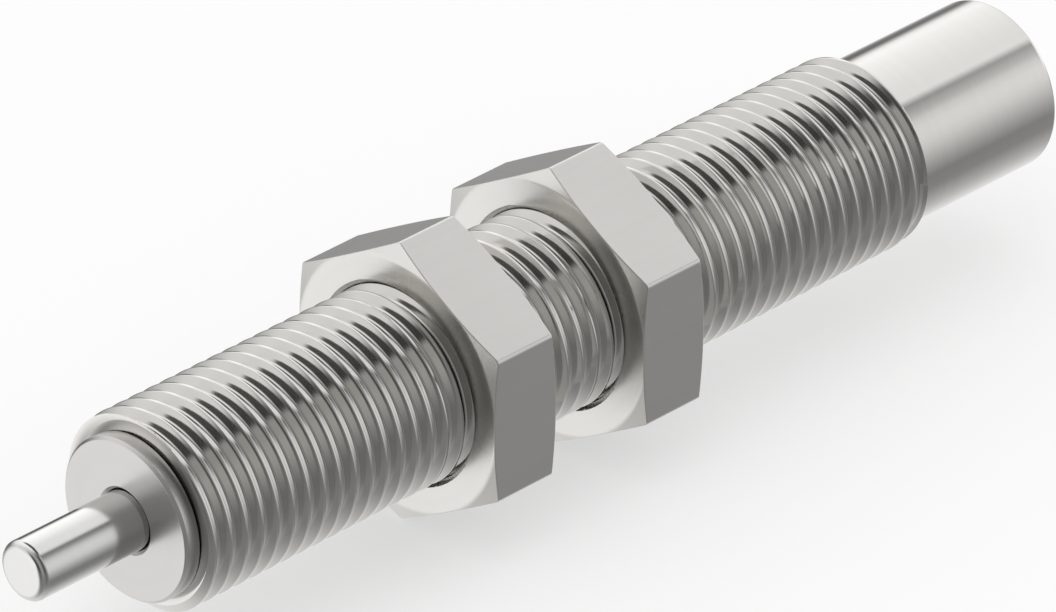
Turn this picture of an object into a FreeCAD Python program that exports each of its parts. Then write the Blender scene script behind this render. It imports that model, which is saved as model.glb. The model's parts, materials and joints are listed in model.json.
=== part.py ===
import FreeCAD, Part
import math
import os

# Miniature hydraulic shock absorber, millimetres.
# The axis is X. The origin is the centre of the stop face that the moving load meets.
# The rod points to -X, the tail to +X, and +Z is up with a corner of each lock nut on top.

# Threaded body
thread_nominal_d = 10.0      # M10 x 1
thread_crest_allowance = 0.1 # crests stand this much under the nominal diameter
thread_end = 48.17           # rear edge of the threaded length
thread_end_chamfer = 0.12
thread_front_break = 0.05    # edge break on its front face
nose_d = 8.4                 # plain nose in front of the thread
nose_length = 0.38
tail_d = 8.7
tail_chamfer = 0.15
body_rear = 57.8             # rear face of the body
body_bore_d = 7.3
seam_chamfer = 0.05          # edge break on both sides of the joint line under the stop disc

# Stop cap
stop_disc_d = 8.2
stop_disc_t = 0.82
stop_edge_chamfer = 0.13
rod_hole_d = 3.1
rod_hole_edge = 0.16         # its countersink in the stop face
spigot_length = 2.4
stop_front_wall = 1.2        # from the stop face to the bottom of the wiper pocket
wiper_pocket_d = 5.0

# Lock nuts
nut_af = 13.0
nut_height = 4.0
nut_face_d = 12.8            # flat ring that the corner chamfer leaves on each face
nut_chamfer_deg = 12.8
nut_edge_r = 0.18            # rounding of the six long edges
nut_countersink = 0.22
front_nut_x = 17.25          # front face of the front nut
rear_nut_x = 27.05           # front face of the rear nut

# Rod
rod_d = 3.0
rod_reach = 6.4              # from the stop face to the rod's tip, which is also the stroke
rod_tip_r = 0.4
rod_spigot_d = 1.9
rod_spigot_end = 0.2         # spigot beyond its nut
rod_spigot_chamfer = 0.15

# Front seals and guide
wiper_width = 1.5
wiper_lip = 0.5
back_up_ring_t = 0.5
rod_seal_width = 1.7
rod_seal_wall = 0.42
rod_seal_base = 0.6
seal_pocket_d = 5.8
seal_pocket_play = 0.2
guide_head_length = 5.0
guide_neck_d = 4.8
guide_neck_length = 11.0
guide_flange_t = 1.0
guide_pilot_length = 0.7
guide_slot_width = 0.9
guide_slot_bottom_r = 2.05
guide_slots = 4
bush_d = 4.0
bush_length = 6.0
o_ring_section_d = 0.9
o_ring_groove_width = 1.2
o_ring_groove_from_rear = 0.7  # land between the groove and the end of the head
o_ring_sides = 6

# Accumulator foam
foam_end_gap = 0.3

# Pressure tube
tube_bore_d = 5.2
tube_wall = 0.6
orifice_d = 0.42
orifices = 5
orifice_first_step = 1.7     # from the piston's rear edge, and then shrinking
orifice_step_ratio = 0.72
orifice_turn_deg = 60.0

# Piston group
piston_length = 2.8
piston_hub_d = 2.9
piston_passages = 4
passage_d = 0.55
passage_circle_d = 3.6
piston_ring_width = 0.9
piston_ring_depth = 0.25
piston_ring_split = 0.25
check_ring_od = 4.7
check_ring_t = 0.45
check_ring_play = 0.35
seat_od = 4.9
seat_t = 0.7
seat_notch_width = 0.8
seat_notch_depth = 0.45
seat_notches = 4
end_nut_af = 3.0
end_nut_height = 1.2

# Return spring
spring_wire_d = 0.5
spring_od = 4.75
spring_turns = 9.0
spring_dead_turns = 1.0      # closed turns at each end
spring_ramp_turns = 0.6      # over which the pitch opens
spring_points_per_turn = 8
spring_wire_sides = 6
spring_end_gap = 0.02

# Rear plug
plug_length = 7.3
plug_chamfer = 0.5           # under the body's rolled rim
rim_t = 0.5                  # the rolled rim stands this much behind the plug
plug_pilot_length = 0.8
fill_hole_d = 1.6
ball_d = 2.0
ball_pocket_depth = 1.9
plug_face_countersink = 0.3

# Clearances, each on the radius or along the axis
thread_fit = 0.03            # nut bore over the thread crests
slip_fit = 0.02              # pieces that slide into a bore
rod_fit = 0.02               # bush on rod, and piston group on its spigot
seal_fit = 0.02              # seals and O-rings against what they seal
foam_fit = 0.05
rest_gap = 0.05              # piston to guide with the rod out

# Stations along the axis, each from what stands before it
thread_d = thread_nominal_d - thread_crest_allowance
tube_od = tube_bore_d + 2 * tube_wall
cap_rear = stop_disc_t + spigot_length
guide_front = cap_rear
guide_head_rear = guide_front + guide_head_length
flange_front = guide_head_rear + guide_neck_length
tube_front = flange_front + guide_flange_t
pilot_rear = tube_front + guide_pilot_length
plug_rear = body_rear - rim_t
tube_rear = plug_rear - plug_length
plug_pilot_front = tube_rear - plug_pilot_length
piston_front = pilot_rear + rest_gap
piston_rear = piston_front + piston_length
seat_front = piston_rear + check_ring_t + check_ring_play
seat_rear = seat_front + seat_t
rod_end = seat_rear + end_nut_height + rod_spigot_end
bush_front = guide_front + back_up_ring_t + rod_seal_width + seal_pocket_play
o_ring_groove_d = body_bore_d - 2 * o_ring_section_d
piston_d = tube_bore_d - 2 * slip_fit


def vec(x, y, z):
    return FreeCAD.Vector(x, y, z)


def closed_outline(corners):
    return Part.makePolygon(corners + corners[:1])


def turned(points):
    """Solid turned about the X axis from a closed outline of (x, radius) points."""
    face = Part.Face(closed_outline([vec(x, 0, r) for x, r in points]))
    return face.revolve(vec(0, 0, 0), vec(1, 0, 0), 360)


def rod_between(x0, x1, d):
    return Part.makeCylinder(d / 2, x1 - x0, vec(x0, 0, 0), vec(1, 0, 0))


def sleeve(x0, x1, od, bore):
    return rod_between(x0, x1, od).cut(rod_between(x0 - 1, x1 + 1, bore))


def about_axis(shape, deg):
    copy = shape.copy()
    copy.rotate(vec(0, 0, 0), vec(1, 0, 0), deg)
    return copy


def spaced_round(shape, count):
    return [about_axis(shape, 360.0 * i / count) for i in range(count)]


def edges_at(shape, x, radius):
    """Round edges of the given radius in the plane at x."""
    found = []
    for edge in shape.Edges:
        curve = edge.Curve
        if isinstance(curve, Part.Circle) and abs(curve.Radius - radius) < 1e-4:
            if abs(curve.Center.x - x) < 1e-4:
                found.append(edge)
    return found


def section_angles(sides):
    """Corner angles of a round section that is drawn with a few sides, one of them flat on top."""
    return [2 * math.pi * (i + 0.5) / sides for i in range(sides)]


def o_ring(x_centre, groove_d, bore_d):
    """O-ring that touches neither wall, its section drawn with a few sides."""
    section_r = (bore_d - groove_d) / 4 - seal_fit / 2
    ring_r = (bore_d + groove_d) / 4
    return turned([(x_centre + section_r * math.sin(a), ring_r + section_r * math.cos(a))
                   for a in section_angles(o_ring_sides)])


def groove_ring(x_rear, groove_d, over_d):
    """Cutter for an O-ring groove that ends at x_rear."""
    return sleeve(x_rear - o_ring_groove_width, x_rear, over_d + 1, groove_d)


def make_threaded_body():
    crest_r = thread_d / 2
    nose_r = nose_d / 2
    thread_front = stop_disc_t + nose_length
    outside = turned([
        (stop_disc_t, 0),
        (stop_disc_t, nose_r - seam_chamfer),
        (stop_disc_t + seam_chamfer, nose_r),
        (thread_front, nose_r),
        (thread_front, crest_r - thread_front_break),
        (thread_front + thread_front_break, crest_r),
        (thread_end - thread_end_chamfer, crest_r),
        (thread_end, crest_r - thread_end_chamfer),
        (thread_end, tail_d / 2),
        (body_rear - tail_chamfer, tail_d / 2),
        (body_rear, tail_d / 2 - tail_chamfer),
        (body_rear, 0)])
    bore_r = body_bore_d / 2
    inside = turned([
        (stop_disc_t - 1, 0),
        (stop_disc_t - 1, bore_r),
        (plug_rear - plug_chamfer, bore_r),
        (plug_rear, bore_r - plug_chamfer),
        (body_rear + 1, bore_r - plug_chamfer),
        (body_rear + 1, 0)])
    return outside.cut(inside)


def make_stop_cap():
    disc_r = stop_disc_d / 2
    outside = turned([
        (0, 0),
        (0, disc_r - stop_edge_chamfer),
        (stop_edge_chamfer, disc_r),
        (stop_disc_t - seam_chamfer, disc_r),
        (stop_disc_t, disc_r - seam_chamfer),
        (stop_disc_t, body_bore_d / 2),
        (cap_rear, body_bore_d / 2),
        (cap_rear, 0)])
    hole_r = rod_hole_d / 2
    inside = turned([
        (-1, 0),
        (-1, hole_r + rod_hole_edge),
        (0, hole_r + rod_hole_edge),
        (rod_hole_edge, hole_r),
        (stop_front_wall, hole_r),
        (stop_front_wall, wiper_pocket_d / 2),
        (cap_rear + 1, wiper_pocket_d / 2),
        (cap_rear + 1, 0)])
    return outside.cut(inside)


def make_hexagon(x0, x1, across_flats, edge_r):
    """Hexagonal prism along X with a corner on +Z."""
    corner_r = across_flats / math.sqrt(3)
    corners = [vec(x0, corner_r * math.sin(math.radians(60 * i)), corner_r * math.cos(math.radians(60 * i)))
               for i in range(6)]
    prism = Part.Face(closed_outline(corners)).extrude(vec(x1 - x0, 0, 0))
    if edge_r <= 0:
        return prism
    long_edges = [e for e in prism.Edges if abs(e.Vertexes[0].X - e.Vertexes[1].X) > (x1 - x0) / 2]
    return prism.makeFillet(edge_r, long_edges)


def make_hex_nut(x0, height, across_flats, face_d, chamfer_deg, edge_r):
    """Hex nut without its bore, the corners turned off to a cone on both faces."""
    prism = make_hexagon(x0, x0 + height, across_flats, edge_r)
    beyond_corners = across_flats
    drop = (beyond_corners - face_d / 2) * math.tan(math.radians(chamfer_deg))
    cones = turned([
        (x0, 0),
        (x0, face_d / 2),
        (x0 + drop, beyond_corners),
        (x0 + height - drop, beyond_corners),
        (x0 + height, face_d / 2),
        (x0 + height, 0)])
    return prism.common(cones)


def make_lock_nut(x0):
    blank = make_hex_nut(x0, nut_height, nut_af, nut_face_d, nut_chamfer_deg, nut_edge_r)
    bore_r = thread_d / 2 + thread_fit
    x1 = x0 + nut_height
    inside = turned([
        (x0 - 1, 0),
        (x0 - 1, bore_r + nut_countersink),
        (x0, bore_r + nut_countersink),
        (x0 + nut_countersink, bore_r),
        (x1 - nut_countersink, bore_r),
        (x1, bore_r + nut_countersink),
        (x1 + 1, bore_r + nut_countersink),
        (x1 + 1, 0)])
    return blank.cut(inside)


def make_piston_rod():
    rod = rod_between(-rod_reach, piston_front, rod_d)
    rod = rod.makeFillet(rod_tip_r, edges_at(rod, -rod_reach, rod_d / 2))
    spigot = rod_between(piston_front - 1, rod_end, rod_spigot_d)
    spigot = spigot.makeChamfer(rod_spigot_chamfer, edges_at(spigot, rod_end, rod_spigot_d / 2))
    return rod.fuse(spigot).removeSplitter()


def make_wiper_ring():
    """Ring with a thin lip that leans on the rod towards the front."""
    outer = wiper_pocket_d / 2
    inner = rod_d / 2 + seal_fit
    heel = inner + (outer - inner) / 3
    front = stop_front_wall
    rear = front + wiper_width
    return turned([
        (front, outer),
        (front, heel),
        (front + 0.1, inner),
        (front + wiper_lip, inner),
        (front + 2 * wiper_lip, heel),
        (rear, heel),
        (rear, outer)])


def make_back_up_ring():
    return sleeve(guide_front, guide_front + back_up_ring_t, seal_pocket_d - 2 * slip_fit, rod_d + 4 * rod_fit)


def make_rod_seal():
    """U-cup that opens towards the oil."""
    outer = seal_pocket_d / 2 - slip_fit
    inner = rod_d / 2 + seal_fit
    front = guide_front + back_up_ring_t
    rear = front + rod_seal_width
    middle = (outer + inner) / 2
    return turned([
        (front, inner),
        (rear, inner),
        (rear, inner + rod_seal_wall / 2),
        (front + rod_seal_base + 0.3, inner + rod_seal_wall),
        (front + rod_seal_base, middle),
        (front + rod_seal_base + 0.3, outer - rod_seal_wall),
        (rear, outer - rod_seal_wall / 2),
        (rear, outer),
        (front, outer)])


def make_rod_guide():
    """Spool: head with seal pocket and O-ring groove, neck for the foam, slotted flange and pilot."""
    head_r = body_bore_d / 2 - slip_fit
    pilot_r = tube_bore_d / 2 - slip_fit
    outside = turned([
        (guide_front, 0),
        (guide_front, head_r),
        (guide_head_rear, head_r),
        (guide_head_rear, guide_neck_d / 2),
        (flange_front, guide_neck_d / 2),
        (flange_front, head_r),
        (tube_front, head_r),
        (tube_front, pilot_r),
        (pilot_rear, pilot_r),
        (pilot_rear, 0)])
    inside = turned([
        (guide_front - 1, 0),
        (guide_front - 1, seal_pocket_d / 2),
        (bush_front, seal_pocket_d / 2),
        (bush_front, bush_d / 2),
        (bush_front + bush_length, bush_d / 2),
        (bush_front + bush_length, rod_hole_d / 2),
        (pilot_rear + 1, rod_hole_d / 2),
        (pilot_rear + 1, 0)])
    guide = outside.cut(inside)
    guide = guide.cut(groove_ring(guide_head_rear - o_ring_groove_from_rear, o_ring_groove_d, body_bore_d))
    slot = Part.makeBox(pilot_rear - flange_front + 2, guide_slot_width, body_bore_d,
                        vec(flange_front - 0.01, -guide_slot_width / 2, guide_slot_bottom_r))
    return guide.cut(Part.makeCompound(spaced_round(slot, guide_slots)))


def make_rod_bush():
    return sleeve(bush_front, bush_front + bush_length, bush_d, rod_d + 2 * rod_fit)


def make_guide_o_ring():
    centre = guide_head_rear - o_ring_groove_from_rear - o_ring_groove_width / 2
    return o_ring(centre, o_ring_groove_d, body_bore_d)


def make_accumulator_foam():
    return sleeve(guide_head_rear + foam_end_gap, flange_front - foam_end_gap,
                  body_bore_d - 2 * foam_fit, guide_neck_d + 2 * foam_fit)


def make_pressure_tube():
    """Tube with metering orifices that come closer together along the stroke."""
    tube = sleeve(tube_front, tube_rear, tube_od, tube_bore_d)
    x = piston_rear
    step = orifice_first_step
    drills = []
    for i in range(orifices):
        drill = Part.makeCylinder(orifice_d / 2, tube_od, vec(x + orifice_d, 0, 0), vec(0, 0, 1))
        drills.append(about_axis(drill, orifice_turn_deg * i))
        x += step
        step *= orifice_step_ratio
    return tube.cut(Part.makeCompound(drills))


def make_piston_head():
    r = piston_d / 2
    ring_front = piston_front + (piston_length - piston_ring_width) / 2
    ring_rear = ring_front + piston_ring_width
    body = turned([
        (piston_front, 0),
        (piston_front, r),
        (ring_front, r),
        (ring_front, r - piston_ring_depth),
        (ring_rear, r - piston_ring_depth),
        (ring_rear, r),
        (piston_rear, r),
        (piston_rear, piston_hub_d / 2),
        (seat_front, piston_hub_d / 2),
        (seat_front, 0)])
    body = body.cut(rod_between(piston_front - 1, seat_front + 1, rod_spigot_d + 2 * rod_fit))
    passage = Part.makeCylinder(passage_d / 2, piston_length + 2,
                                vec(piston_front - 1, 0, passage_circle_d / 2), vec(1, 0, 0))
    return body.cut(Part.makeCompound(spaced_round(passage, piston_passages)))


def make_piston_ring():
    ring_front = piston_front + (piston_length - piston_ring_width) / 2
    ring = sleeve(ring_front, ring_front + piston_ring_width,
                  tube_bore_d - slip_fit, piston_d - 2 * piston_ring_depth)
    split = Part.makeBox(piston_ring_width + 2, piston_ring_split, tube_bore_d,
                         vec(ring_front - 1, -piston_ring_split / 2, 0))
    return ring.cut(split)


def make_check_ring():
    return sleeve(piston_rear, piston_rear + check_ring_t, check_ring_od, piston_hub_d + 2 * seal_fit)


def make_spring_seat():
    seat = sleeve(seat_front, seat_rear, seat_od, rod_spigot_d + 2 * rod_fit)
    notch = Part.makeBox(seat_t + 2, seat_notch_width, seat_od,
                         vec(seat_front - 1, -seat_notch_width / 2, seat_od / 2 - seat_notch_depth))
    return seat.cut(Part.makeCompound(spaced_round(notch, seat_notches)))


def make_rod_end_nut():
    face_d = end_nut_af * 0.96
    nut = make_hex_nut(seat_rear, end_nut_height, end_nut_af, face_d, 30.0, 0)
    return nut.cut(rod_between(seat_rear - 1, seat_rear + end_nut_height + 1, rod_spigot_d + 2 * rod_fit))


def opened_turns(t, start):
    """Turns of open pitch reached at turn t when the pitch ramps up from start."""
    past = t - start
    if past <= 0:
        return 0.0
    if past < spring_ramp_turns:
        return past * past / (2 * spring_ramp_turns)
    return past - spring_ramp_turns / 2


def make_return_spring():
    """Compression spring of round wire with closed ends."""
    x0 = seat_rear + spring_end_gap
    length = plug_pilot_front - spring_end_gap - x0
    coil_r = (spring_od - spring_wire_d) / 2
    closing = spring_turns - spring_dead_turns - spring_ramp_turns
    closed_pitch = spring_wire_d * 1.04
    open_turns = opened_turns(spring_turns, spring_dead_turns) - opened_turns(spring_turns, closing)
    extra_pitch = (length - spring_wire_d - closed_pitch * spring_turns) / open_turns
    points = []
    steps = int(spring_turns * spring_points_per_turn)
    for i in range(steps + 1):
        t = i / spring_points_per_turn
        opened = opened_turns(t, spring_dead_turns) - opened_turns(t, closing)
        x = x0 + spring_wire_d / 2 + closed_pitch * t + extra_pitch * opened
        a = 2 * math.pi * t
        points.append(vec(x, coil_r * math.sin(a), coil_r * math.cos(a)))
    curve = Part.BSplineCurve()
    curve.interpolate(points)
    path = Part.Wire([curve.toShape()])
    along = curve.tangent(curve.FirstParameter)[0]
    outward = (points[0] - vec(points[0].x, 0, 0)).normalize()
    across = along.cross(outward).normalize()
    wire_r = spring_wire_d / 2
    corners = [points[0] + outward * (wire_r * math.cos(a)) + across * (wire_r * math.sin(a))
               for a in section_angles(spring_wire_sides)]
    return path.makePipeShell([closed_outline(corners)], True, True)


def make_rear_plug():
    plug_r = body_bore_d / 2 - slip_fit
    pilot_r = tube_bore_d / 2 - slip_fit
    outside = turned([
        (plug_pilot_front, 0),
        (plug_pilot_front, pilot_r),
        (tube_rear, pilot_r),
        (tube_rear, plug_r),
        (plug_rear - plug_chamfer, plug_r),
        (plug_rear, plug_r - plug_chamfer),
        (plug_rear, 0)])
    pocket_r = ball_d / 2 + slip_fit
    pocket_front = plug_rear - ball_pocket_depth
    inside = turned([
        (plug_pilot_front - 1, 0),
        (plug_pilot_front - 1, fill_hole_d / 2),
        (pocket_front, fill_hole_d / 2),
        (pocket_front, pocket_r),
        (plug_rear - plug_face_countersink, pocket_r),
        (plug_rear, pocket_r + plug_face_countersink),
        (plug_rear + 1, pocket_r + plug_face_countersink),
        (plug_rear + 1, 0)])
    plug = outside.cut(inside)
    return plug.cut(groove_ring(plug_o_ring_rear(), o_ring_groove_d, body_bore_d))


def plug_o_ring_rear():
    """Rear edge of the plug's O-ring groove, in the middle of the plug."""
    return (tube_rear + plug_rear + o_ring_groove_width) / 2


def make_plug_o_ring():
    return o_ring(plug_o_ring_rear() - o_ring_groove_width / 2, o_ring_groove_d, body_bore_d)


def make_fill_ball():
    """Ball that rests on the mouth of the filling hole."""
    ball_r = ball_d / 2
    seat_depth = math.sqrt(ball_r ** 2 - (fill_hole_d / 2) ** 2)
    centre = plug_rear - ball_pocket_depth + seat_depth + slip_fit
    return Part.makeSphere(ball_r, vec(centre, 0, 0))


pieces = {
    "threaded_body": make_threaded_body(),
    "stop_cap": make_stop_cap(),
    "front_lock_nut": make_lock_nut(front_nut_x),
    "rear_lock_nut": make_lock_nut(rear_nut_x),
    "piston_rod": make_piston_rod(),
    "wiper_ring": make_wiper_ring(),
    "back_up_ring": make_back_up_ring(),
    "rod_seal": make_rod_seal(),
    "rod_guide": make_rod_guide(),
    "rod_bush": make_rod_bush(),
    "guide_o_ring": make_guide_o_ring(),
    "accumulator_foam": make_accumulator_foam(),
    "pressure_tube": make_pressure_tube(),
    "piston_head": make_piston_head(),
    "piston_ring": make_piston_ring(),
    "check_ring": make_check_ring(),
    "spring_seat": make_spring_seat(),
    "rod_end_nut": make_rod_end_nut(),
    "return_spring": make_return_spring(),
    "rear_plug": make_rear_plug(),
    "plug_o_ring": make_plug_o_ring(),
    "fill_ball": make_fill_ball(),
}

os.makedirs("parts", exist_ok=True)
for name, shape in pieces.items():
    shape.exportStep("parts/%s.step" % name)
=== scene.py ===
import bpy
import json
import math
import numpy as np
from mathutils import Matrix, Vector


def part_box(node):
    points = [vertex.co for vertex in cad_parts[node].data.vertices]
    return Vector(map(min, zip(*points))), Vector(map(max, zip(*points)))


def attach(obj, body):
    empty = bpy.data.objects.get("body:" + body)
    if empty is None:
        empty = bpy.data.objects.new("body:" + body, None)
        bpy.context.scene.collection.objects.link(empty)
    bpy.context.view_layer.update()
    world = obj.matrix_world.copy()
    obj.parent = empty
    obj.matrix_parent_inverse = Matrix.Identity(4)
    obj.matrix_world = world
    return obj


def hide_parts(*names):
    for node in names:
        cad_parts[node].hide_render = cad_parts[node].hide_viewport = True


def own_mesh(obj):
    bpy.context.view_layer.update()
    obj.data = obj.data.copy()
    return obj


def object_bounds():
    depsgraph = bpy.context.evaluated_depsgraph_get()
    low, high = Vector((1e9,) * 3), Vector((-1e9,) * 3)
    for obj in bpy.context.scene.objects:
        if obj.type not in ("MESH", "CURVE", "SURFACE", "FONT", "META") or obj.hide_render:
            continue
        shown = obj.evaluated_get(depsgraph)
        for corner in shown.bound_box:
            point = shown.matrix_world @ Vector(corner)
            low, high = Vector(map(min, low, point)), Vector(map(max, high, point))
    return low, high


# The object's own sizes are in millimetres, in the frame's axes, and become metres when a mesh is made.
MM = 0.001

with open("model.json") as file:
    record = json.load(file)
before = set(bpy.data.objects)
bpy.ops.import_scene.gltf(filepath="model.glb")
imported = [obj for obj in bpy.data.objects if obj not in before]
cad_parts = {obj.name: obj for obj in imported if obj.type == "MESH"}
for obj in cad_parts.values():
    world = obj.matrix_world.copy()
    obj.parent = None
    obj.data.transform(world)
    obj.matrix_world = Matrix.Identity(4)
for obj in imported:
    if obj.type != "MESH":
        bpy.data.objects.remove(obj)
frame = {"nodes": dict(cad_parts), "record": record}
cad_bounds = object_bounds()


def cad_box(node):
    """Lowest and highest corner of a CAD node in millimetres."""
    low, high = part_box(node)
    return low / MM, high / MM


body_low, body_high = cad_box("threaded_body")
_, cap_high = cad_box("stop_cap")
rod_low, rod_high = cad_box("piston_rod")
plug_low, plug_high = cad_box("rear_plug")
ball_low, ball_high = cad_box("fill_ball")
spring_low, spring_high = cad_box("return_spring")

# Threaded body, from front to rear
body_front = body_low.x
body_rear = body_high.x
crest_r = body_high.y
thread_front = body_front
thread_end = 48.17
tail_r = 4.35
tail_edge_r = 0.18
body_bore_r = 3.65
rim_r = 3.15                 # inner edge of the rolled rim behind the plug
rim_edge_r = 0.12

# M10 x 1 right-hand thread at the photograph's scale, with flanks at 60 degrees to each other
pitch = 0.982
crest_width = 0.15
root_width = 0.27
thread_depth = (pitch - crest_width - root_width) / 2 / math.tan(math.radians(30))
crest_edge_r = 0.07
root_edge_r = 0.15
thread_phase = 0.559         # a crest's place along X at +Y
front_rim = 0.02             # edge breaks where the thread meets its two end faces
rear_rim = 0.12
thread_end_fillet = 0.03     # between the thread's rear face and the tail
nut_thread_gap = 0.03        # between the body's thread and a nut's bore

# Stop cap and rod
disc_r = cap_high.y
disc_t = body_front
disc_edge = 0.13
disc_edge_r = 0.04
disc_rear_edge_r = 0.01
rod_hole_r = 1.55
rod_hole_edge = 0.16
spigot_r = body_bore_r
spigot_wall = 0.1
wiper_pocket_r = 2.5
stop_front_wall = 1.2
rod_r = 1.5
rod_tip_r = 0.4
rod_shank_end = 20.97
rod_spigot_r = 0.95
rod_end_r = 0.12

# Lock nuts
nut_face_r = 6.55
nut_chamfer = math.radians(15)
nut_corner_r = 0.26
nut_edge_r = 0.12            # half the width over which the face turns into the chamfer
nut_rim_r = 0.04             # edge between the chamfer and the flats
nut_countersink = 0.22
nut_mouth_flat = 0.02        # flat ring between the countersink and the rest of the face

# Rear plug and ball
plug_chamfer = 0.5
plug_countersink = 0.3
ball_pocket_r = 1.02
ball_pocket_depth = 1.9
fill_hole_r = 0.8
plug_pilot_length = 0.8
plug_pilot_r = 2.58
plug_groove_r = 2.75
plug_groove_width = 1.2
plug_fit = 0.02
plug_lead_r = 0.1

# Return spring
wire_r = 0.25
coil_r = spring_high.y - wire_r
spring_turns = 9

# Rounding of corners that have no size of their own
crisp_r = 0.02
fine_r = 0.03
plain_r = 0.05

# Meshes

around = 144                 # faces round a turned piece
arc_steps = 4                # points along a rounded edge
columns = np.linspace(0, 2 * math.pi, around + 1)
weld_distance = 1e-5
edge_gap = 10 * weld_distance


# Outlines


def rounded(corners):
    """Points (x, r) and normals of an outline whose corners (x, r, radius) are rounded.

    The outline runs with the material on its right, and its two ends stay sharp."""
    points, normals = [], []
    for i, (x, r, radius) in enumerate(corners):
        here = np.array((x, r))
        before = np.array(corners[i - 1][:2]) if i else None
        after = np.array(corners[i + 1][:2]) if i + 1 < len(corners) else None
        way_in = (here - before) / np.linalg.norm(here - before) if i else None
        way_out = (after - here) / np.linalg.norm(after - here) if after is not None else None
        if before is None or after is None:
            way = way_out if before is None else way_in
            points.append(here)
            normals.append(np.array((-way[1], way[0])))
            continue
        turn = math.atan2(way_in[0] * way_out[1] - way_in[1] * way_out[0], way_in @ way_out)
        start = here - way_in * radius * math.tan(abs(turn) / 2)
        side = np.array((-way_in[1], way_in[0]))
        centre = start + side * math.copysign(radius, turn)
        for step in range(arc_steps + 1):
            a = turn * step / arc_steps
            normal = np.array((side[0] * math.cos(a) - side[1] * math.sin(a),
                               side[0] * math.sin(a) + side[1] * math.cos(a)))
            points.append(centre - normal * math.copysign(radius, turn))
            normals.append(normal)
    return np.array(points), np.array(normals)


# Surfaces, each a grid of points with a normal at every point


def about_x(along, away, angles):
    """Vectors from their parts along X and away from it, turned to their angles."""
    return np.stack(np.broadcast_arrays(along, away * np.cos(angles), away * np.sin(angles)), axis=-1)


def spun(corners):
    """Grid of the rounded outline turned about the X axis."""
    points, normals = rounded(corners)
    return tuple(about_x(outline[:, :1], outline[:, 1:], columns) for outline in (points, normals))


def thread_outline():
    """One pitch of the thread from the middle of a crest to just before the next one."""
    flank = (pitch - crest_width - root_width) / 2
    root_r = crest_r - thread_depth
    half = crest_width / 2
    points, normals = rounded([
        (0, crest_r, 0),
        (half, crest_r, crest_edge_r),
        (half + flank, root_r, root_edge_r),
        (half + flank + root_width, root_r, root_edge_r),
        (pitch - half, crest_r, crest_edge_r),
        (pitch, crest_r, 0)])
    return points[:-1], normals[:-1]


def thread_section(x):
    """Radius and normal (along X, outwards) of the thread in one plane, for every column round it."""
    points, normals = thread_outline()
    along = (x - thread_phase - pitch * columns / (2 * math.pi)) % pitch
    places = np.append(points[:, 0], pitch)
    values = np.column_stack((points[:, 1], normals))
    values = np.vstack((values, values[:1]))
    return [np.interp(along, places, value) for value in values.T]


def end_face(x, inner_r, rim):
    """Flat face at an end of the body's thread, from a radius out to the thread's own edge.

    It stays a hair inside the thread's edge, so that the two aren't shaded as one surface."""
    edge = np.minimum(thread_section(x)[0], crest_r - rim) - edge_gap
    grid = about_x(x, np.stack((np.full_like(edge, inner_r), edge)), columns)
    return grid, np.broadcast_to((-1.0, 0, 0), grid.shape)


def threaded(x_start, x_end, cones):
    """Grid of the helical thread between two planes, cut off by cones (x, r, slope).

    Its rows follow the helix from two turns before the first plane to past the second one, and the
    stretches beyond the planes are folded onto them."""
    points, normals = thread_outline()
    turns = int(math.ceil((x_end - x_start) / pitch)) + 3
    first = pitch * math.floor(x_start / pitch) - 2 * pitch + thread_phase
    rows = np.concatenate([points + (first + pitch * i, 0) for i in range(turns + 1)])
    slopes = np.concatenate([normals] * (turns + 1))
    helix = rows[:, :1] + pitch * columns / (2 * math.pi)
    r = np.repeat(rows[:, 1:], len(columns), axis=1)
    nx = np.repeat(slopes[:, :1], len(columns), axis=1)
    nr = np.repeat(slopes[:, 1:], len(columns), axis=1)
    for beyond, plane in ((helix < x_start, x_start), (helix > x_end, x_end)):
        plane_r, plane_nx, plane_nr = thread_section(plane)
        r = np.where(beyond, plane_r, r)
        nx = np.where(beyond, plane_nx, nx)
        nr = np.where(beyond, plane_nr, nr)
    x = np.clip(helix, x_start, x_end)
    lead = pitch / (2 * math.pi) * nx / r
    for x_at, r_at, slope in cones:
        cone = r_at + slope * (x - x_at)
        cut = cone < r
        r = np.where(cut, cone, r)
        nx = np.where(cut, -slope / math.hypot(1, slope), nx)
        nr = np.where(cut, 1 / math.hypot(1, slope), nr)
        lead = np.where(cut, 0, lead)
    sideways = np.stack((np.zeros_like(columns), np.sin(columns), -np.cos(columns)), axis=1)
    return about_x(x, r, columns), about_x(nx, nr, columns) + lead[..., None] * sideways


def inside_out(grid):
    """The same grid seen from its other side."""
    points, normals = grid
    return points[::-1], -normals[::-1]


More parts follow.
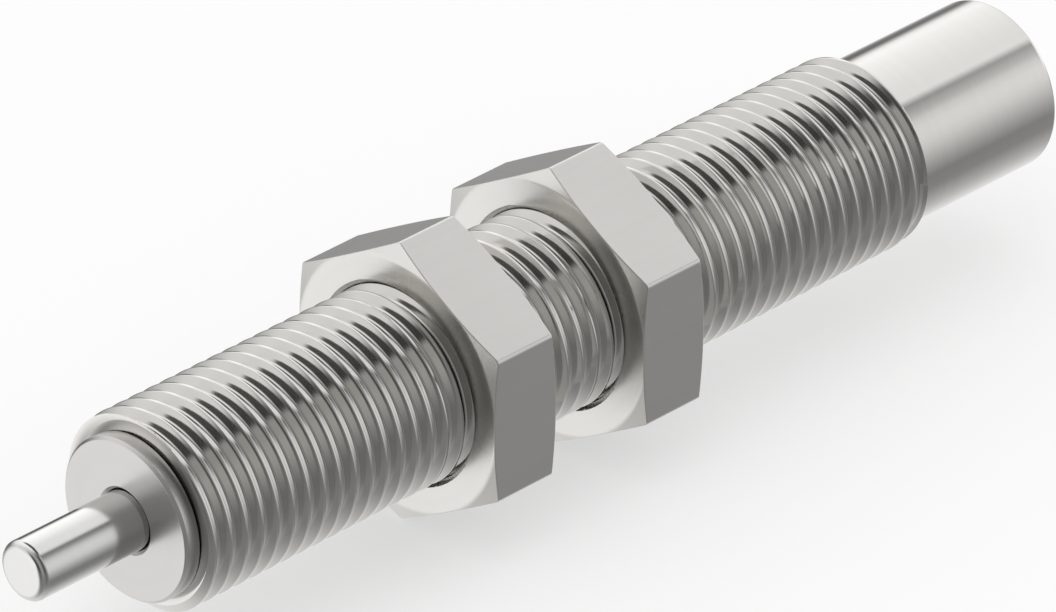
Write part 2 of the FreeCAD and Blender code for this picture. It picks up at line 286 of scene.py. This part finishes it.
def make_piece(name, grids, body, replaces, materials):
    """Object from grids of points, which are welded where they meet.

    Each grid comes with the index of its material."""
    points = np.concatenate([g[0].reshape(-1, 3) for g, _ in grids])
    normals = np.concatenate([g[1].reshape(-1, 3) for g, _ in grids])
    keys = np.round(points / weld_distance).astype(np.int64)
    _, first, index = np.unique(keys, axis=0, return_index=True, return_inverse=True)
    index = index.reshape(-1)
    summed = np.zeros((len(first), 3))
    np.add.at(summed, index, normals)
    faces, paints = [], []
    offset = 0
    for (grid, _), paint in grids:
        rows, columns = grid.shape[:2]
        ids = index[offset:offset + rows * columns].reshape(rows, columns)
        offset += rows * columns
        corners = np.stack((ids[:-1, :-1], ids[:-1, 1:], ids[1:, 1:], ids[1:, :-1]), axis=2).reshape(-1, 4)
        for face in corners.tolist():
            ring = [v for i, v in enumerate(face) if v != face[i - 1]]
            if len(set(ring)) == len(ring) and len(ring) > 2:
                faces.append(ring)
                paints.append(paint)
    mesh = bpy.data.meshes.new(name)
    mesh.from_pydata((points[first] * MM).tolist(), [], faces)
    mesh.polygons.foreach_set("material_index", paints)
    mesh.polygons.foreach_set("use_smooth", [True] * len(faces))
    length = np.linalg.norm(summed, axis=1, keepdims=True)
    mesh.normals_split_custom_set_from_vertices((summed / np.maximum(length, 1e-9)).tolist())
    for material in materials:
        mesh.materials.append(material)
    piece = bpy.data.objects.new(name, mesh)
    bpy.context.scene.collection.objects.link(piece)
    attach(piece, body)
    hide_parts(replaces)
    return piece


# Shader nodes


class Shader:
    """Adds linked nodes to a node tree."""

    def __init__(self, tree):
        self.tree = tree
        tree.nodes.clear()

    def node(self, kind, inputs=None, output=0, **settings):
        made = self.tree.nodes.new(kind)
        for key, value in settings.items():
            setattr(made, key, value)
        for key, value in (inputs or {}).items():
            if isinstance(value, bpy.types.NodeSocket):
                self.tree.links.new(value, made.inputs[key])
            else:
                made.inputs[key].default_value = value
        return made.outputs[output] if made.outputs else None

    def math(self, operation, *values):
        return self.node("ShaderNodeMath", dict(enumerate(values)), operation=operation)

    def dot(self, vector, direction):
        return self.node("ShaderNodeVectorMath", {0: vector, 1: direction}, "Value",
                         operation="DOT_PRODUCT")

    def step(self, value, low, high, at_low=0.0, at_high=1.0):
        """Smooth step of a value between two levels."""
        levels = {"Value": value, "From Min": low, "From Max": high, "To Min": at_low, "To Max": at_high}
        return self.node("ShaderNodeMapRange", levels, interpolation_type="SMOOTHSTEP")

    def ramp(self, turn, stops):
        """Value over one turn from a list of (degrees, value)."""
        made = self.tree.nodes.new("ShaderNodeValToRGB")
        while len(made.color_ramp.elements) < len(stops):
            made.color_ramp.elements.new(0.5)
        for element, (degrees, value) in zip(made.color_ramp.elements, stops):
            element.position = degrees / 360
            element.color = (value, value, value, 1)
        self.tree.links.new(turn, made.inputs[0])
        return made.outputs[0]

    def blend(self, share, a, b):
        """Mix of two numbers."""
        return self.node("ShaderNodeMix", {"Factor": share, "A": a, "B": b}, data_type="FLOAT")

    def tint(self, share, a, b):
        """Mix of two colours."""
        return self.node("ShaderNodeMix", {"Factor": share, 6: a, 7: b}, 2, data_type="RGBA")


# Materials


def new_material(name):
    material = bpy.data.materials.new(name)
    material.use_nodes = True
    return material, Shader(material.node_tree)


def metal(name, color, roughness, stretch=0.0, grain=0.0, turned=True, uneven=0.04):
    """Machined metal whose fine tool marks run round the X axis, or along it where it isn't turned."""
    material, s = new_material(name)
    place = s.node("ShaderNodeTexCoord", output="Object")
    across = s.node("ShaderNodeVectorMath", {0: place, 1: (0, 1, 1)}, operation="MULTIPLY")
    away = s.node("ShaderNodeVectorMath", {0: across}, "Value", operation="LENGTH")
    along = s.dot(place, (1, 0, 0))
    if turned:
        marks = s.node("ShaderNodeVectorMath", {0: (1, 0, 0), 1: place}, operation="CROSS_PRODUCT")
        line = s.math("ADD", along, away)
    else:
        marks = s.node("ShaderNodeCombineXYZ", {0: 1.0, 1: 0.0, 2: 0.0})
        line = s.math("ADD", s.dot(place, (0, 1, 0)), s.math("MULTIPLY", s.dot(place, (0, 0, 1)), 0.7))
    fine = s.node("ShaderNodeTexNoise", {"W": line, "Scale": 9000.0, "Detail": 3.0},
                  noise_dimensions="1D")
    coarse = s.node("ShaderNodeTexNoise", {"W": line, "Scale": 1800.0, "Detail": 2.0},
                    noise_dimensions="1D")
    cloud = s.node("ShaderNodeTexNoise", {"Vector": place, "Scale": 260.0, "Detail": 4.0})
    height = s.math("ADD", fine, s.math("MULTIPLY", coarse, 0.6))
    bump = s.node("ShaderNodeBump", {"Height": height, "Strength": grain, "Distance": 0.00001})
    worn = s.math("ADD", s.math("MULTIPLY", s.math("SUBTRACT", cloud, 0.5), uneven), roughness)
    darker = tuple(c * 0.985 for c in color) + (1,)
    shade = s.tint(s.step(coarse, 0.3, 0.7), darker, color + (1,))
    surface = s.node("ShaderNodeBsdfPrincipled",
                     {"Base Color": shade, "Metallic": 1.0, "Roughness": worn, "Anisotropic": stretch,
                      "Tangent": marks, "Normal": bump})
    s.node("ShaderNodeOutputMaterial", {"Surface": surface})
    return material


def dull(name, color, roughness, pores=0.0, pore_scale=2500.0):
    """Rubber, plastic or foam."""
    material, s = new_material(name)
    place = s.node("ShaderNodeTexCoord", output="Object")
    mottle = s.node("ShaderNodeTexNoise", {"Vector": place, "Scale": pore_scale, "Detail": 5.0})
    bump = s.node("ShaderNodeBump", {"Height": mottle, "Strength": pores, "Distance": 0.00003})
    shade = s.tint(mottle, tuple(c * 0.9 for c in color) + (1,), color + (1,))
    surface = s.node("ShaderNodeBsdfPrincipled",
                     {"Base Color": shade, "Roughness": roughness, "Normal": bump})
    s.node("ShaderNodeOutputMaterial", {"Surface": surface})
    return material


body_metal = metal("body_turned_steel", (0.70, 0.69, 0.665), 0.10, stretch=0.2, grain=0.03)
cap_metal = metal("stop_ground_steel", (0.62, 0.61, 0.595), 0.28, grain=0.04)
rim_metal = metal("rim_turned_steel", (0.62, 0.61, 0.595), 0.25, stretch=0.3, grain=0.05)
nut_turned_metal = metal("nut_turned_steel", (0.70, 0.69, 0.665), 0.27, stretch=0.4, grain=0.09)
nut_drawn_metal = metal("nut_drawn_steel", (0.70, 0.69, 0.67), 0.30, turned=False)
rod_metal = metal("rod_polished_steel", (0.72, 0.715, 0.705), 0.16, stretch=0.2, grain=0.03, uneven=0.02)
plug_metal = metal("plug_turned_steel", (0.66, 0.65, 0.63), 0.28, stretch=0.4, grain=0.15)
ball_metal = metal("ball_polished_steel", (0.78, 0.78, 0.77), 0.08, uneven=0.01)

inner_materials = {
    "wiper_polyurethane": dull("wiper_polyurethane", (0.10, 0.13, 0.20), 0.45, pores=0.1),
    "ptfe": dull("ptfe", (0.86, 0.86, 0.83), 0.5, pores=0.1),
    "seal_rubber": dull("seal_rubber", (0.03, 0.03, 0.03), 0.55, pores=0.2),
    "guide_aluminium": metal("guide_turned_aluminium", (0.80, 0.80, 0.81), 0.3, stretch=0.4, grain=0.15),
    "bush_bronze": metal("bush_sintered_bronze", (0.62, 0.43, 0.24), 0.38, grain=0.1, uneven=0.15),
    "foam": dull("accumulator_foam", (0.09, 0.09, 0.10), 0.9, pores=1.0, pore_scale=1200.0),
    "tube_steel": metal("tube_drawn_steel", (0.58, 0.58, 0.59), 0.3, stretch=0.4, grain=0.1),
    "piston_steel": metal("piston_turned_steel", (0.52, 0.52, 0.53), 0.28, stretch=0.4, grain=0.1),
    "valve_steel": metal("valve_lapped_steel", (0.60, 0.60, 0.62), 0.18, grain=0.03),
    "spring_steel": metal("spring_drawn_wire", (0.44, 0.45, 0.47), 0.3),
}

# Visible pieces


def threaded_body():
    thread = threaded(thread_front, thread_end, [
        (thread_front, crest_r - front_rim, 1.0),
        (thread_end, crest_r - rear_rim, -1.0)])
    tail = spun([
        (thread_end, tail_r + thread_end_fillet, 0),
        (thread_end, tail_r, crisp_r),
        (body_rear, tail_r, tail_edge_r),
        (body_rear, rim_r, rim_edge_r),
        (plug_high.x, rim_r, plain_r),
        (plug_high.x - plug_chamfer, body_bore_r, plain_r),
        (body_front, body_bore_r, 0)])
    front_face = end_face(thread_front, body_bore_r, front_rim)
    rear_face = end_face(thread_end, tail_r + thread_end_fillet, rear_rim)
    grids = [front_face, thread, inside_out(rear_face), tail]
    return make_piece("visual_threaded_body", [(grid, 0) for grid in grids],
                      "housing", "threaded_body", [body_metal])


def stop_cap():
    face = spun([
        (cap_high.x, spigot_r - spigot_wall, 0),
        (cap_high.x, wiper_pocket_r, fine_r),
        (stop_front_wall, wiper_pocket_r, fine_r),
        (stop_front_wall, rod_hole_r, fine_r),
        (rod_hole_edge, rod_hole_r, crisp_r),
        (0, rod_hole_r + rod_hole_edge, crisp_r),
        (0, disc_r - disc_edge, disc_edge_r),
        (disc_edge / 2, disc_r - disc_edge / 2, 0)])
    rim = spun([
        (disc_edge / 2, disc_r - disc_edge / 2, 0),
        (disc_edge, disc_r, disc_edge_r),
        (disc_t, disc_r, disc_rear_edge_r),
        (disc_t, spigot_r, fine_r),
        (cap_high.x, spigot_r, plain_r),
        (cap_high.x, spigot_r - spigot_wall, 0)])
    return make_piece("visual_stop_cap", [(face, 0), (rim, 1)], "housing", "stop_cap",
                      [cap_metal, rim_metal])


def piston_rod():
    shape = spun([
        (rod_low.x, 0, 0),
        (rod_low.x, rod_r, rod_tip_r),
        (rod_shank_end, rod_r, fine_r),
        (rod_shank_end, rod_spigot_r, fine_r),
        (rod_high.x, rod_spigot_r, rod_end_r),
        (rod_high.x, 0, 0)])
    return make_piece("visual_piston_rod", [(shape, 0)],
                      "rod_assembly", "piston_rod", [rod_metal])


def hexagon_outline(across_flats):
    """Angles, radii and directions faced (as angles) round a hexagon with a corner on +Z."""
    apothem = across_flats / 2
    corner = apothem / math.cos(math.radians(30))
    centre = corner - nut_corner_r / math.cos(math.radians(30))
    flat_steps = 12
    spots = []
    for i in range(6):
        middle = math.radians(90 + 60 * i)
        for step in range(arc_steps + 1):
            facing = middle + math.radians(60) * (step / arc_steps - 0.5)
            spots.append((centre * math.cos(middle) + nut_corner_r * math.cos(facing),
                          centre * math.sin(middle) + nut_corner_r * math.sin(facing), facing))
        flat = middle + math.radians(30)
        half = centre * math.sin(math.radians(30))
        for step in range(1, flat_steps):
            along = half * (2 * step / flat_steps - 1)
            spots.append((apothem * math.cos(flat) - along * math.sin(flat),
                          apothem * math.sin(flat) + along * math.cos(flat), flat))
    spots.append(spots[0][:2] + (spots[0][2] + 2 * math.pi,))
    y, z, facing = np.array(spots).T
    return np.unwrap(np.arctan2(z, y)), np.hypot(y, z), facing


def lock_nut(node, body):
    low, high = cad_box(node)
    x0, x1 = low.x, high.x
    angles, hex_r, facing = hexagon_outline(high.y - low.y)
    side = about_x(0, 1, facing)
    slope = about_x(-math.cos(nut_chamfer), math.sin(nut_chamfer), angles)
    bore_r = crest_r + nut_thread_gap
    mouth_r = bore_r + nut_countersink

    def unit(vectors):
        return vectors / np.linalg.norm(vectors, axis=1, keepdims=True)

    def fall(r):
        """How far a face lies back at a radius, flat at first and then on the corner cone."""
        share = np.clip((r - nut_face_r) / (2 * nut_edge_r) + 0.5, 0, 1)
        return np.where(share < 1, nut_edge_r * share ** 2, r - nut_face_r) * math.tan(nut_chamfer)

    def face_half(x_face, toward):
        """Face ring, corner cone and edge on one side of the nut, from the mouth outwards."""
        axis = np.array((toward, 1, 1))
        face = np.broadcast_to((-1.0, 0, 0), slope.shape)
        rows = [(about_x(x_face, r, angles), face) for r in (mouth_r, mouth_r + nut_mouth_flat)]
        for step in range(arc_steps + 1):
            r = np.minimum(nut_face_r + nut_edge_r * (2 * step / arc_steps - 1), hex_r - nut_rim_r)
            t = ((r - nut_face_r) / (2 * nut_edge_r) + 0.5)[:, None]
            rows.append((about_x(x_face + toward * fall(r), r, angles), unit((1 - t) * face + t * slope)))
        start = about_x(x_face + toward * fall(hex_r - nut_rim_r), hex_r - nut_rim_r, angles)
        middle = about_x(x_face + toward * fall(hex_r), hex_r, angles)
        end = about_x(x_face + toward * (fall(hex_r) + nut_rim_r), hex_r, angles)
        for step in range(arc_steps + 1):
            t = step / arc_steps
            point = (1 - t) ** 2 * start + 2 * t * (1 - t) * middle + t ** 2 * end
            rows.append((point, unit((1 - t) * slope + t * side)))
        return (np.array([p for p, _ in rows]), np.array([n for _, n in rows]) * axis)

    front = face_half(x0, 1)
    rear = face_half(x1, -1)
    flats = (np.stack((front[0][-1], rear[0][-1])), np.stack((front[1][-1], rear[1][-1])))
    bore = spun([
        (x1, mouth_r, 0),
        (x1 - nut_countersink, bore_r, crisp_r),
        (x0 + nut_countersink, bore_r, crisp_r),
        (x0, mouth_r, 0)])
    grids = [(front, 0), ((rear[0][::-1], rear[1][::-1]), 0), (flats, 1), (bore, 0)]
    return make_piece("visual_" + node, grids,
                      body, node, [nut_turned_metal, nut_drawn_metal])


def rear_plug():
    x0, x1 = plug_low.x, plug_high.x
    outer_r = body_bore_r - plug_fit
    inside_hole = x0 + 1
    groove_rear = (x0 + plug_pilot_length + x1 + plug_groove_width) / 2
    shape = spun([
        (inside_hole, fill_hole_r, 0),
        (x0, fill_hole_r, plain_r),
        (x0, plug_pilot_r, plug_lead_r),
        (x0 + plug_pilot_length, plug_pilot_r, fine_r),
        (x0 + plug_pilot_length, outer_r, plug_lead_r),
        (groove_rear - plug_groove_width, outer_r, plain_r),
        (groove_rear - plug_groove_width, plug_groove_r, plain_r),
        (groove_rear, plug_groove_r, plain_r),
        (groove_rear, outer_r, plain_r),
        (x1 - plug_chamfer, outer_r, plain_r),
        (x1, outer_r - plug_chamfer, plain_r),
        (x1, ball_pocket_r + plug_countersink, plain_r),
        (x1 - plug_countersink, ball_pocket_r, plain_r),
        (x1 - ball_pocket_depth, ball_pocket_r, fine_r),
        (x1 - ball_pocket_depth, fill_hole_r, fine_r),
        (inside_hole, fill_hole_r, 0)])
    return make_piece("visual_rear_plug", [(shape, 0)], "housing", "rear_plug", [plug_metal])


def fill_ball():
    ball_r = (ball_high.x - ball_low.x) / 2
    rounding = ball_r * 0.999
    shape = spun([
        (ball_low.x, 0, 0),
        (ball_low.x, ball_r, rounding),
        (ball_high.x, ball_r, rounding),
        (ball_high.x, 0, 0)])
    return make_piece("visual_fill_ball", [(shape, 0)], "housing", "fill_ball", [ball_metal])


def return_spring():
    """Compression spring of round wire, with one closed coil at each end."""
    steps, sides, dead = 40, 14, 1.0
    length = spring_high.x - spring_low.x - 2 * wire_r
    closed_pitch = 2.08 * wire_r
    turns = np.linspace(0, spring_turns, spring_turns * steps + 1)
    opened = np.clip(turns - dead, 0, spring_turns - 2 * dead)
    x = spring_low.x + wire_r + closed_pitch * turns
    x += opened * (length - closed_pitch * spring_turns) / (spring_turns - 2 * dead)
    a = 2 * math.pi * turns
    centre = about_x(x, coil_r, a)
    away = about_x(0, 1, a)
    ring = np.linspace(0, 2 * math.pi, sides + 1)
    normals = (np.cos(ring)[None, :, None] * away[:, None, :]
               + np.sin(ring)[None, :, None] * np.array((1.0, 0, 0)))
    points = centre[:, None, :] + wire_r * normals
    ends = [np.stack((np.broadcast_to(centre[i], points[i].shape), points[i])) for i in (0, -1)]
    along_wire = np.cross((1.0, 0, 0), away)
    start = (ends[0], np.broadcast_to(-along_wire[0], ends[0].shape))
    end = (ends[1][::-1], np.broadcast_to(along_wire[-1], ends[1].shape))
    spring = make_piece("visual_return_spring", [((points, normals), 0), (start, 0), (end, 0)],
                        "housing", "return_spring", [inner_materials["spring_steel"]])
    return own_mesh(spring)


threaded_body()
stop_cap()
piston_rod()
lock_nut("front_lock_nut", "front_nut")
lock_nut("rear_lock_nut", "rear_nut")
rear_plug()
fill_ball()
return_spring()

for part in frame["record"]["subparts"]:
    if part["material_slot"] in inner_materials:
        node = frame["nodes"][part["node"]]
        node.data.materials.clear()
        node.data.materials.append(inner_materials[part["material_slot"]])


# Studio


def studio_world():
    """Soft studio: large light cards in the reflections, plain white for the camera and for soft light.

    The cards are given at six places along X, each as brightness over the degrees about X. A dark
    oval spot hangs overhead, across X."""
    cards = [
        (-0.93, [(0, 1.0), (42, 0.87), (51, 0.5), (60, 0.13), (75, 0.07), (180, 0.08), (200, 0.15),
                 (262, 0.22), (280, 0.36), (300, 0.75), (318, 1.22), (350, 1.15)]),
        (-0.72, [(0, 1.0), (20, 0.87), (40, 0.87), (60, 0.78), (80, 0.60), (98, 0.45), (180, 0.38),
                 (200, 0.28), (262, 0.25), (280, 0.36), (300, 0.75), (318, 1.22), (350, 1.15)]),
        (-0.10, [(0, 0.3), (20, 1.1), (50, 1.3), (85, 1.2), (104, 0.3), (115, 0.06), (165, 0.06),
                 (180, 0.14), (210, 0.2), (228, 0.32), (243, 0.5), (258, 0.67), (273, 0.83),
                 (300, 0.9), (322, 0.9), (345, 0.2)]),
        (0.32, [(0, 0.12), (14, 1.1), (38, 1.32), (84, 1.0), (105, 0.6), (121, 0.6), (140, 0.58),
                (158, 0.48), (176, 0.34), (194, 0.26), (212, 0.28), (228, 0.32), (243, 0.5),
                (258, 0.62), (273, 0.75), (300, 0.9), (322, 1.0), (338, 0.4), (350, 0.1)]),
        (0.58, [(0, 0.08), (6, 0.5), (14, 1.25), (24, 1.45), (38, 1.35), (84, 1.10), (110, 1.0),
                (119, 0.12), (132, 0.38), (140, 0.66), (150, 0.80), (160, 0.86), (172, 0.84),
                (180, 0.78), (200, 0.45), (216, 0.24), (235, 0.27), (260, 0.55), (285, 0.82),
                (302, 0.90), (322, 1.0), (336, 0.5), (346, 0.14), (352, 0.06)]),
        (0.80, [(0, 0.8), (100, 1.0), (112, 1.25), (125, 1.5), (150, 1.45), (165, 1.1), (180, 0.6),
                (220, 0.45), (260, 0.5), (300, 0.8), (340, 0.8)])]
    spot_x, spot_half_x = 0.26, 0.25
    spot_y, spot_half_y = 0.15, 0.54
    soft_level = 0.9
    world = bpy.data.worlds.new("studio")
    bpy.context.scene.world = world
    world.use_nodes = True
    s = Shader(world.node_tree)
    way = s.node("ShaderNodeTexCoord", output="Generated")
    along, across, height = (s.dot(way, axis) for axis in ((1, 0, 0), (0, 1, 0), (0, 0, 1)))
    angle = s.math("ARCTAN2", height, across)
    turn = s.math("FRACT", s.math("ADD", s.math("DIVIDE", angle, 2 * math.pi), 1.0))
    strength = s.ramp(turn, cards[0][1])
    for (x_before, _), (x, stops) in zip(cards, cards[1:]):
        strength = s.blend(s.step(along, x_before, x), strength, s.ramp(turn, stops))
    beside = s.math("DIVIDE", s.math("SUBTRACT", along, spot_x), spot_half_x)
    before = s.math("DIVIDE", s.math("SUBTRACT", across, spot_y), spot_half_y)
    apart = s.math("ADD", s.math("MULTIPLY", beside, beside), s.math("MULTIPLY", before, before))
    apart = s.math("ADD", apart, s.step(height, 0.0, 0.3, 5.0, 0.0))
    strength = s.math("MULTIPLY", strength, s.step(apart, 0.8, 1.4, 0.1, 1.0))
    rays = s.tree.nodes.new("ShaderNodeLightPath")
    strength = s.blend(rays.outputs["Is Glossy Ray"], soft_level, strength)
    strength = s.blend(rays.outputs["Is Camera Ray"], strength, 1.0)
    light = s.node("ShaderNodeBackground", {"Color": (1, 1, 1, 1), "Strength": strength})
    s.node("ShaderNodeOutputWorld", {"Surface": light})


def floor():
    """Plain white floor just under the nuts' lower corners."""
    gap = 0.0001
    half = 3.0
    height = cad_bounds[0].z - gap
    corners = [(x, y, height) for x, y in ((-half, -half), (half, -half), (half, half), (-half, half))]
    mesh = bpy.data.meshes.new("floor")
    mesh.from_pydata(corners, [], [(0, 1, 2, 3)])
    material, s = new_material("floor_paint")
    lit = s.node("ShaderNodeBsdfDiffuse", {"Color": (0.5, 0.5, 0.5, 1)})
    rays = s.tree.nodes.new("ShaderNodeLightPath")
    seen = s.math("MULTIPLY", rays.outputs["Is Camera Ray"], 0.5)
    glow = s.node("ShaderNodeEmission", {"Color": (1, 1, 1, 1), "Strength": seen})
    surface = s.node("ShaderNodeAddShader", {0: lit, 1: glow})
    s.node("ShaderNodeOutputMaterial", {"Surface": surface})
    mesh.materials.append(material)
    plane = bpy.data.objects.new("floor", mesh)
    plane.visible_glossy = False
    bpy.context.scene.collection.objects.link(plane)


def soft_light(name, place, size, power):
    lamp = bpy.data.lights.new(name, "AREA")
    lamp.shape = "SQUARE"
    lamp.size = size
    lamp.energy = power
    light = bpy.data.objects.new(name, lamp)
    light.location = place
    light.rotation_euler = (-Vector(place)).to_track_quat("-Z", "Y").to_euler()
    light.visible_glossy = False
    bpy.context.scene.collection.objects.link(light)


def camera():
    """Long lens at the photograph's height and side."""
    azimuth = math.radians(-44.93)
    elevation = math.radians(30.40)
    distance = 0.4955
    target = Vector((0.0259, 0, 0.0006))
    back = Vector((math.sin(azimuth) * math.cos(elevation), -math.cos(azimuth) * math.cos(elevation),
                   math.sin(elevation)))
    data = bpy.data.cameras.new("camera")
    data.lens = 359.9
    data.sensor_width = 36
    data.clip_start = 0.05
    data.clip_end = 20
    view = bpy.data.objects.new("camera", data)
    view.location = target + back * distance
    view.rotation_euler = (-back).to_track_quat("-Z", "Y").to_euler()
    bpy.context.scene.collection.objects.link(view)
    bpy.context.scene.camera = view


studio_world()
floor()
soft_light("key", (-0.4, -0.1, 0.9), 0.8, 1.0)
camera()
bpy.context.scene.view_settings.view_transform = "Standard"
